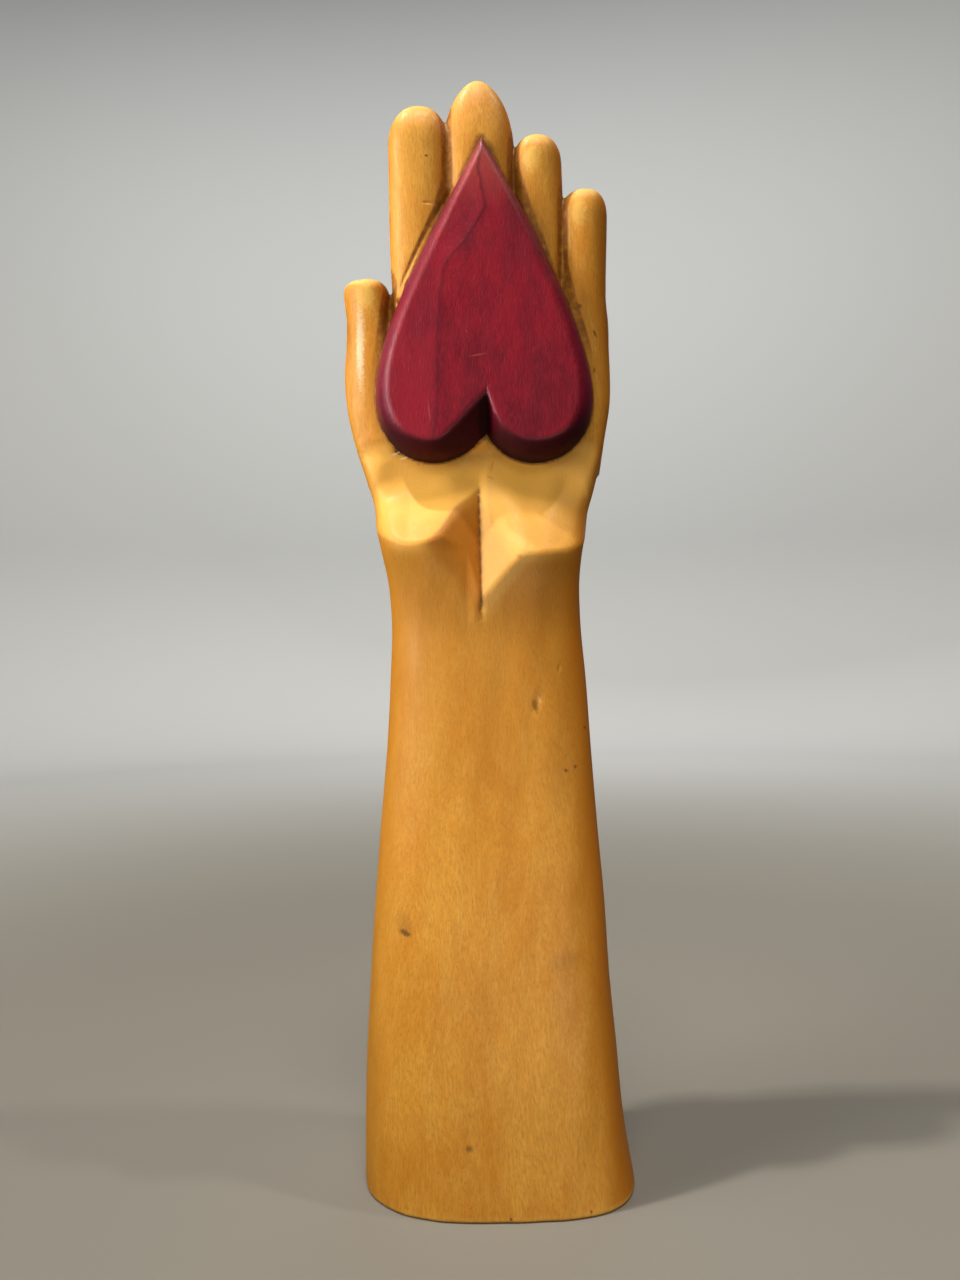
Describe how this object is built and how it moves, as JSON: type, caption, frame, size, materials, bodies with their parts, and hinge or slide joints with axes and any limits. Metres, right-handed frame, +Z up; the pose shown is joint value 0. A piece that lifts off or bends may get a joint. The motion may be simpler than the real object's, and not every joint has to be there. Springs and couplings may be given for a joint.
{
  "type": "carved wooden votive arm with heart",
  "caption": "Carved wooden votive forearm that stands on its cut base, with an upright open hand that holds a red inverted heart in relief on its palm.",
  "frame": {"origin": "middle of the flat sawn underside that the arm stands on", "axes": "+Z up along the forearm to the fingertips, palm and heart facing -Y, thumb on the -X side"},
  "size_m": [0.0939, 0.064, 0.3724],
  "materials": {
    "varnished_wood": "pale close-grained wood under a honey-coloured satin varnish, with the heart stained crimson"
  },
  "bodies": {
    "root": {"carved_arm": "varnished_wood"}
  },
  "joints": []
}
